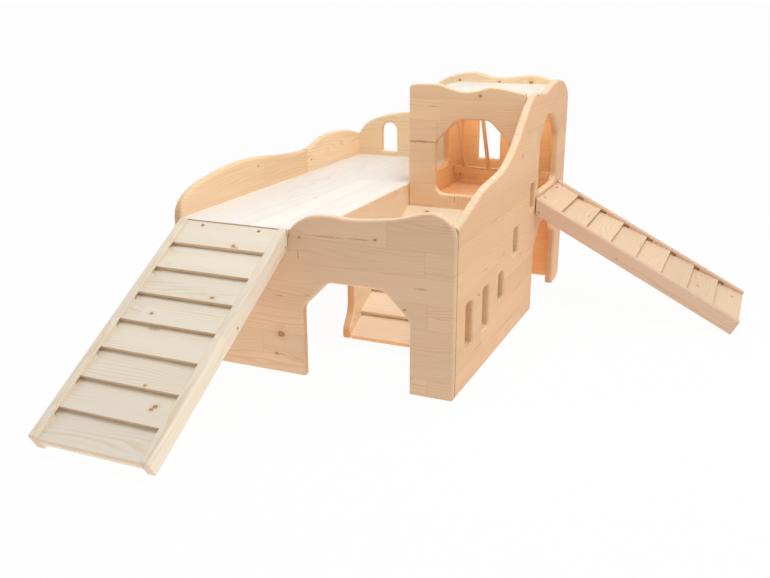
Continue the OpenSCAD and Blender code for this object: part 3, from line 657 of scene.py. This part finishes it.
def dressTreads(side, plan, slope, top):
    def onTreads(across, down):
        spot = top + slope * (down * mm)
        return spot + plan["across"] * (plan["across"].dot(castleCorner - spot) + across * mm)

    treads = numbered(side + "_ramp_tread_")
    pitch = slope.dot(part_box(treads[2])[0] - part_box(treads[1])[0])
    knots = [oval(onTreads(across, down), halfWidth) for across, down, halfWidth in plan["knots"]]
    marks = [(onTreads(across, down), *halves) for across, down, *halves in plan["marks"]]
    # The treads' edge faces get the painted gap shade
    wood = spruceWood(side + "_tread_spruce", plan["across"], slope, plan["treadTone"], plan["seed"] + 1,
                      knots, marks, plank=pitch, seamAt=slope.dot(top), edgeShadingTone=plan["riserShadeTone"])
    # The first tread meets the wall with a sharp edge
    wallEnd = min(plan["away"].dot(corner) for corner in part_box(treads[0]))
    roundedPiece(treads[0], wood, rules=[(plan["away"], wallEnd, 0.0)], **rounding["tread"])
    for tread in treads[1:]:
        roundedPiece(tread, wood, **rounding["tread"])


def dressBattens(side, plan, slope):
    wood = spruceWood(side + "_batten_spruce", plan["across"], slope, plan["railTone"], plan["seed"] + 2,
                      plank=wholePlank)
    for which, kind in {"hanger": "hanger", "middle": "batten", "foot": "batten"}.items():
        roundedPiece(side + "_ramp_" + which + "_batten", wood, **rounding[kind])


for side, plan in ramps.items():
    slope, square, points = rampLines(side, plan)
    dressRails(side, plan, slope, square, points)
    dressTreads(side, plan, slope, max(points, key=lambda p: p.z))
    dressBattens(side, plan, slope)
print("ramps made:", len(ramps))

# Inner stair
stair = {"tone": (0.865, 0.735, 0.565), "seed": 70, "pitch": 66.5, "stringerSeed": 74,
         "knots": [(480, 180, 40, 3.0), (420, 330, 140, 3.0), (362, 487, 237, 4.2)]}
batten = {"tone": (0.780, 0.540, 0.325), "crossSeed": 78, "lengthSeed": 82}


def dressStair():
    stringer = mergedCopy("stair_stringer_left")
    slope = longestEdge(stringer)
    stringer.free()
    wood = spruceWood("stair_tread_spruce", xAxis, slope, stair["tone"], stair["seed"],
                      plank=stair["pitch"] * mm, knots=knotsAt(stair["knots"]))
    for tread in numbered("stair_tread_"):
        roundedPiece(tread, wood, **rounding["tread"])
    wood = spruceWood("stringer_spruce", slope, xAxis.cross(slope), batten["tone"], stair["stringerSeed"],
                      plank=wholePlank)
    for side in ("left", "right"):
        roundedPiece("stair_stringer_" + side, wood, **rounding["batten"])


# Ledgers under the floors and the battens of the hay rack
def dressLedgers():
    crossWood = spruceWood("cross_batten_spruce", xAxis, zAxis, batten["tone"], batten["crossSeed"],
                           plank=wholePlank)
    lengthWood = spruceWood("length_batten_spruce", yAxis, zAxis, batten["tone"], batten["lengthSeed"],
                            plank=wholePlank)
    for nodeName in ("deck_ledger_back", "floor_ledger_front", "floor_ledger_back", "rack_lower_batten",
                     "rack_upper_batten"):
        roundedPiece(nodeName, crossWood, **rounding["batten"])
    roundedPiece("deck_ledger_left", lengthWood, **rounding["batten"])


dressStair()
dressLedgers()
print("stair, ledgers and rack made")

# Turned dowels
dowel = {"tone": (0.70, 0.47, 0.27), "rackSeed": 86, "pegSeed": 90}


def dressDowels():
    rack = mergedCopy("rack_dowels")
    lean = longestEdge(rack)
    rack.free()
    wood = spruceWood("lean_dowel_beech", lean, xAxis, dowel["tone"], dowel["rackSeed"], plank=wholePlank)
    roundedPiece("rack_dowels", wood, **rounding["dowel"])
    wood = spruceWood("peg_beech", xAxis, zAxis, dowel["tone"], dowel["pegSeed"], plank=wholePlank)
    for nodeName in ("corner_dowels", "left_ramp_plug_dowels", "right_ramp_plug_dowels"):
        roundedPiece(nodeName, wood, **rounding["dowel"])


dressDowels()
print("dowels made")

# Countersunk screws with a star-shaped drive, in mm
screw = {
    "head": 7.0, "shank": 3.5, "drive": 3.6, "driveDepth": 1.3, "points": 6, "starWaist": 0.72, "sides": 24,
    "zincDark": (0.44, 0.38, 0.29), "zincPale": (0.74, 0.67, 0.55),
    "blotchScale": 900.0, "blotchRange": (0.35, 0.7), "roughRange": (0.3, 0.7, 0.48, 0.30),
    "scratchStretch": (3000.0, 900.0, 3000.0), "bumpStrength": 0.3, "bump": 0.0001,
    "nodes": ["batten_screws", "left_ramp_screws", "right_ramp_screws"],
}
onEnd = 0.05 * mm


# Dull zinc plating, blotchy and scratched by the driver
def screwZinc():
    material, tree, shader = newMaterial("screw_zinc")
    place = addNode(tree, "TexCoord", {}).outputs["Object"]
    blotches = noise(tree, place, screw["blotchScale"], 3.0)
    pale = fade(tree, blotches, *screw["blotchRange"])
    feed(tree, shader.inputs["Base Color"],
         blendColor(tree, "MIX", pale, screw["zincDark"], screw["zincPale"]))
    shader.inputs["Metallic"].default_value = 1.0
    feed(tree, shader.inputs["Roughness"], fade(tree, blotches, *screw["roughRange"]))
    scratches = noise(tree, stretched(tree, place, screw["scratchStretch"]), 1.0)
    addBump(tree, shader, scratches, screw["bumpStrength"], screw["bump"])
    return material


def addScrew(bm, tip, length, direction):
    others = set(bm.verts)
    headRadius, shankRadius, driveRadius = [screw[part] / 2 * mm for part in ("head", "shank", "drive")]
    headDepth = headRadius - shankRadius
    verts = bmesh.ops.create_circle(bm, cap_ends=True, segments=screw["sides"], radius=headRadius)["verts"]
    face = verts[0].link_faces[0]
    bmesh.ops.inset_region(bm, faces=[face], thickness=headRadius - driveRadius)
    for i, vert in enumerate(face.verts):
        if i % (screw["sides"] // screw["points"]) == 0:
            vert.co.xy *= screw["starWaist"]
    sunk = bmesh.ops.extrude_discrete_faces(bm, faces=[face])["faces"]
    bmesh.ops.translate(bm, verts=sunk[0].verts[:], vec=(0, 0, -screw["driveDepth"] * mm))
    rim = dict.fromkeys(e for v in verts for e in v.link_edges if len(e.link_faces) == 1)
    for drop in (headDepth, length - headDepth):
        grown = bmesh.ops.extrude_edge_only(bm, edges=list(rim))["geom"]
        rim = [g for g in grown if isinstance(g, bmesh.types.BMEdge)]
        for vert in [g for g in grown if isinstance(g, bmesh.types.BMVert)]:
            vert.co.xy = vert.co.xy.normalized() * shankRadius
            vert.co.z -= drop
    bmesh.ops.contextual_create(bm, geom=rim)
    turn = zAxis.rotation_difference(direction).to_matrix().to_4x4()
    made = [v for v in bm.verts if v not in others]
    bmesh.ops.transform(bm, matrix=Matrix.Translation(tip) @ turn, verts=made)


# A screw for each plain solid of a node, with its head at the wider end
def screwSet(nodeName, material):
    source = mergedCopy(nodeName)
    bm = bmesh.new()
    for island in looseIslands(source):
        low, high = boxOf(island)
        size = high - low
        axis = max(range(3), key=lambda i: size[i])
        shaft = Vector([float(i == axis) for i in range(3)])
        middle = (low + high) / 2
        widthAt = {}
        for end in (low[axis], high[axis]):
            rimPoints = [p for p in island if abs(p[axis] - end) < onEnd]
            widthAt[end] = max((p - middle).cross(shaft).length for p in rimPoints)
        headEnd = max(widthAt, key=widthAt.get)
        tip = middle.copy()
        tip[axis] = headEnd
        addScrew(bm, tip, size[axis], shaft if headEnd == high[axis] else -shaft)
    source.free()
    bmesh.ops.recalc_face_normals(bm, faces=bm.faces[:])
    return stands(pieceFrom(bm, nodeName + "_steel", material), nodeName)


zinc = screwZinc()
for nodeName in screw["nodes"]:
    screwSet(nodeName, zinc)
print("screws made")

# Pale floor that stays white in the picture and keeps a soft shadow, and an even sky
studio = {
    "floorSize": 800.0, "floorDrop": 0.6 * mm, "floorTone": 0.86, "floorSeen": 0.96,
    "floorBounce": 0.75, "nearBounce": 1.25, "nearReach": (0.6, 1.5),
    "underTint": (0.88, 0.45, 0.19), "underFade": (-0.05, 0.02),
    "skyFront": 0.29, "skyBack": 0.86, "skyTurn": 0.7,
}
white = (1.0, 1.0, 1.0)


# 1 for rays that show the background itself
def seenRay(tree):
    path = addNode(tree, "LightPath", {})
    seen = calc(tree, "MAXIMUM", path.outputs["Is Camera Ray"], path.outputs["Is Glossy Ray"])
    return calc(tree, "MAXIMUM", seen, path.outputs["Is Transmission Ray"])


# 1 where the castle stands, fading out at its walls
def underCastle(tree, spot):
    low, high = castleCorner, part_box("right_wall")[1]
    outside = []
    for at, start, end in zip(addNode(tree, "SeparateXYZ", {"Vector": spot}).outputs, low.xy, high.xy):
        fromMiddle = calc(tree, "ABSOLUTE", calc(tree, "SUBTRACT", at, (start + end) / 2))
        outside.append(calc(tree, "SUBTRACT", fromMiddle, (end - start) / 2))
    return fade(tree, calc(tree, "MAXIMUM", *outside), *studio["underFade"], 1.0, 0.0)


# Under the castle the floor only passes on light that the wood has warmed
def studioWhite():
    material, tree = newMaterial("studio_white")[:2]
    tree.nodes.clear()
    spot = addNode(tree, "TexCoord", {}).outputs["Object"]
    distance = addNode(tree, "VectorMath", {0: spot}, operation="LENGTH").outputs["Value"]
    bounce = fade(tree, distance, *studio["nearReach"], studio["nearBounce"], studio["floorBounce"])
    seen = seenRay(tree)
    warm = calc(tree, "MULTIPLY", underCastle(tree, spot), calc(tree, "SUBTRACT", 1.0, seen))
    strength = calc(tree, "MULTIPLY_ADD", seen, calc(tree, "SUBTRACT", 1.0, bounce), bounce)
    glow = addNode(tree, "Emission", {"Color": blendColor(tree, "MIX", warm, white, studio["underTint"]),
                                      "Strength": strength})
    paint = addNode(tree, "BsdfDiffuse", {"Color": (studio["floorTone"],) * 3 + (1,)})
    mix = addNode(tree, "MixShader", {"Fac": studio["floorSeen"], 1: paint.outputs["BSDF"],
                                      2: glow.outputs["Emission"]})
    addNode(tree, "OutputMaterial", {"Surface": mix.outputs["Shader"]})
    return material


def paleFloor():
    bm = bmesh.new()
    bmesh.ops.create_grid(bm, x_segments=1, y_segments=1, size=studio["floorSize"] / 2)
    bmesh.ops.translate(bm, verts=bm.verts[:], vec=(0, 0, -studio["floorDrop"]))
    floor = pieceFrom(bm, "studio_floor", studioWhite())


# Soft light all round, weaker from the camera's side
def studioSky():
    world = bpy.data.worlds.new("studio_sky")
    scene.world = world
    world.use_nodes = True
    tree = world.node_tree
    background = tree.nodes["Background"]
    background.inputs["Color"].default_value = (*white, 1)
    spot = addNode(tree, "TexCoord", {}).outputs["Generated"]
    behind = addNode(tree, "SeparateXYZ", {"Vector": spot}).outputs["Y"]
    light = fade(tree, behind, -studio["skyTurn"], studio["skyTurn"], studio["skyFront"], studio["skyBack"])
    feed(tree, background.inputs["Strength"], calc(tree, "MAXIMUM", light, seenRay(tree)))


lamps = {
    "overhead_panel": {"at": (0.30, -0.10, 1.78), "aim": (-0.25, 0.35, 0.25), "size": 1.1, "watts": 17},
    "tower_fill": {"at": (-0.09, 0.48, 0.475), "aim": (-0.09, 0.50, 0.25), "size": 0.2, "watts": 0.34,
                   "color": (1.0, 0.76, 0.49)},
    "right_panel": {"at": (3.4, 0.9, 1.7), "aim": (0.0, 0.2, 0.2), "size": 2.2, "watts": 11},
    "left_panel": {"at": (-3.2, -1.0, 2.0), "aim": (-0.3, 0.0, 0.2), "size": 2.4, "watts": 22},
}


def softPanel(name, lamp):
    data = bpy.data.lights.new(name, "AREA")
    data.size = lamp["size"]
    data.energy = lamp["watts"]
    data.color = lamp.get("color", white)
    panel = bpy.data.objects.new(name, data)
    panel.location = lamp["at"]
    panel.rotation_euler = (Vector(lamp["aim"]) - panel.location).to_track_quat("-Z", "Y").to_euler()
    scene.collection.objects.link(panel)


paleFloor()
studioSky()
for name, lamp in lamps.items():
    softPanel(name, lamp)

# The photo's viewpoint, in mm from the castle's corner and in degrees
view = {"at": (1083.1, -1423.2, 710.8), "pitch": 18.07, "yaw": 23.43, "roll": 0.16, "focalPixels": 881.8,
        "imageWidth": 770, "sensor": 36.0}
cameraData = bpy.data.cameras.new("photo_camera")
cameraData.sensor_width = view["sensor"]
cameraData.lens = view["focalPixels"] / view["imageWidth"] * view["sensor"]
camera = bpy.data.objects.new("photo_camera", cameraData)
camera.location = fromCorner(*view["at"])
camera.rotation_euler = (radians(90 - view["pitch"]), radians(view["roll"]), radians(view["yaw"]))
scene.collection.objects.link(camera)
scene.camera = camera
scene.view_settings.view_transform = "Standard"
print("studio set")
